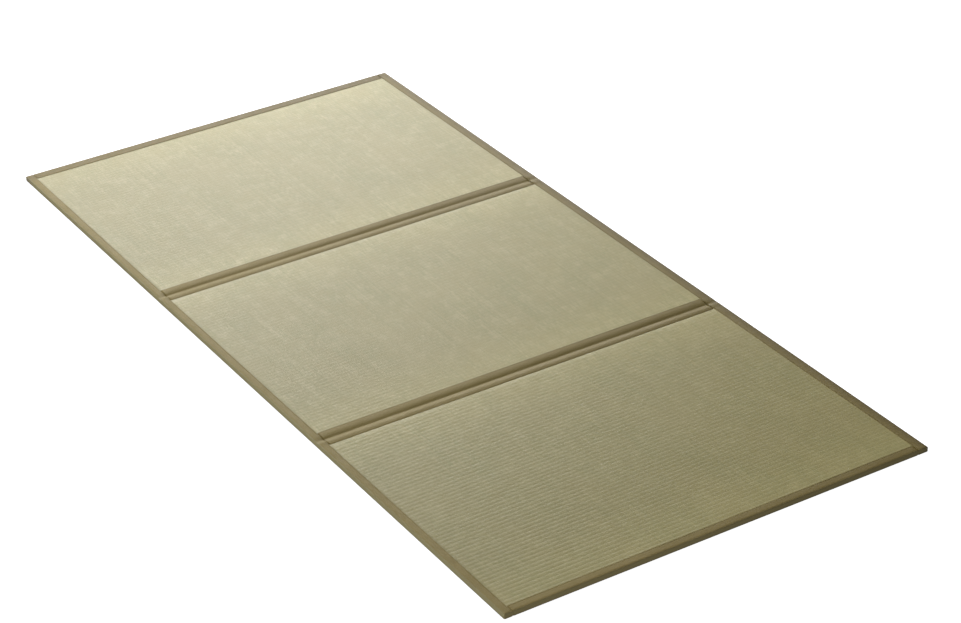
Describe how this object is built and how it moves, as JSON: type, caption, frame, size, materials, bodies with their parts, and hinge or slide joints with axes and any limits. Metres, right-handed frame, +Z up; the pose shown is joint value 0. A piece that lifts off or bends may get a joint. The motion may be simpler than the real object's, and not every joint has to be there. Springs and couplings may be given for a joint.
{
  "type": "folding tatami mat",
  "caption": "Long flat floor mat of woven rush, bound in cloth all round, with cloth bands across its folds, laid open.",
  "frame": {"origin": "on the floor under the middle of the mat", "axes": "+Z up from the floor, +Y along the mat's length towards its back panel, +X across its width, along the folds"},
  "size_m": [0.97, 2.1, 0.012],
  "materials": {
    "rush": "dried rush woven in even ribs, pale straw with a green cast, with a faint sheen",
    "binding_cloth": "matt olive brown woven cotton tape"
  },
  "bodies": {
    "root": {"rush_panel_front": "rush", "rush_panel_middle": "rush", "rush_panel_back": "rush", "binding_left": "binding_cloth", "binding_right": "binding_cloth", "binding_front": "binding_cloth", "binding_back": "binding_cloth", "fold_band_front": "binding_cloth", "fold_band_back": "binding_cloth"}
  },
  "joints": []
}
